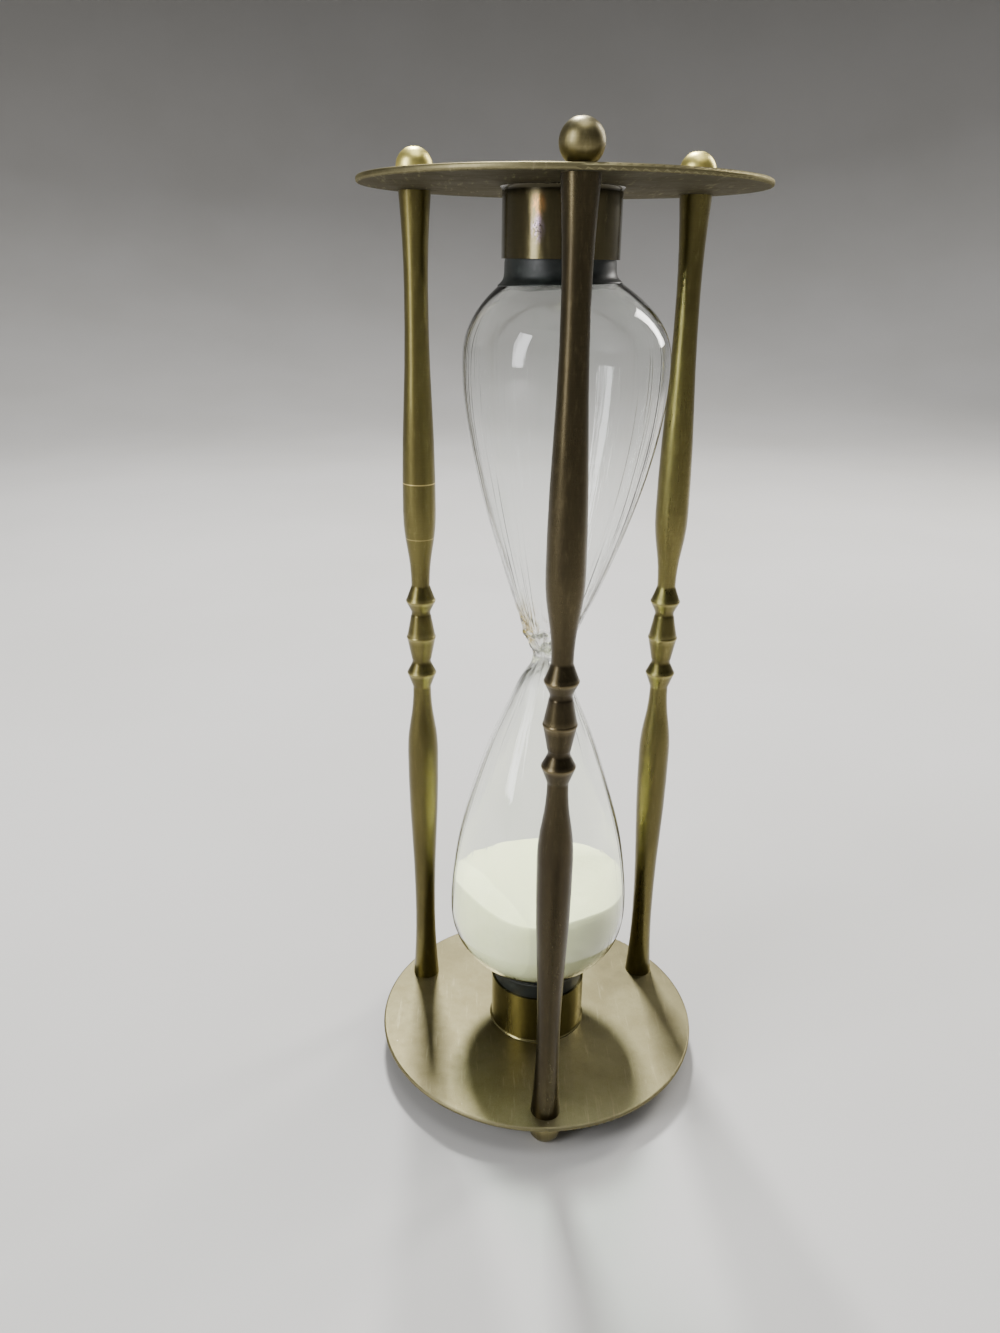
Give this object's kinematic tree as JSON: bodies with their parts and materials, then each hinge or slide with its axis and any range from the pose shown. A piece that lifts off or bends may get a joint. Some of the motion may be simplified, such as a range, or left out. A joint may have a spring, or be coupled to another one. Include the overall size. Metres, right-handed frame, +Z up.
{
  "type": "hourglass",
  "caption": "Antique-brass hourglass: round end plates, turned beaded posts with ball finials and feet, and a blown double glass with white sand held in rubber-lined collars.",
  "frame": {"origin": "middle of the circle on which the ball feet stand, at the height of their lowest flats", "axes": "+Z up along the axis of the glass, -Y towards the front post"},
  "size_m": [0.1, 0.1, 0.2677],
  "materials": {
    "plate_brass": "satin antique-brass lacquer with fine specks",
    "post_brass": "turned satin antique brass, darker in the grooves",
    "ball_brass": "turned brass with fine lathe rings, rubbed bright",
    "collar_brass": "rolled brass tube, polished under an uneven patina",
    "stud_brass": "raw cut brass",
    "cup_rubber": "matte greenish-black moulded rubber",
    "bulb_glass": "clear lampblown glass with faint waves and streaks",
    "sand_white": "fine white sand"
  },
  "bodies": {
    "root": {"bottom_plate": "plate_brass", "top_plate": "plate_brass", "lower_collar": "collar_brass", "upper_collar": "collar_brass", "lower_rubber_cup": "cup_rubber", "upper_rubber_cup": "cup_rubber", "lower_bulb": "bulb_glass", "upper_bulb": "bulb_glass", "sand": "sand_white", "post_front": "post_brass", "post_right": "post_brass", "post_left": "post_brass", "finial_front": "ball_brass", "finial_right": "ball_brass", "finial_left": "ball_brass", "foot_front": "ball_brass", "foot_right": "ball_brass", "foot_left": "ball_brass", "upper_stud_front": "stud_brass", "upper_stud_right": "stud_brass", "upper_stud_left": "stud_brass", "lower_stud_front": "stud_brass", "lower_stud_right": "stud_brass", "lower_stud_left": "stud_brass"}
  },
  "joints": []
}
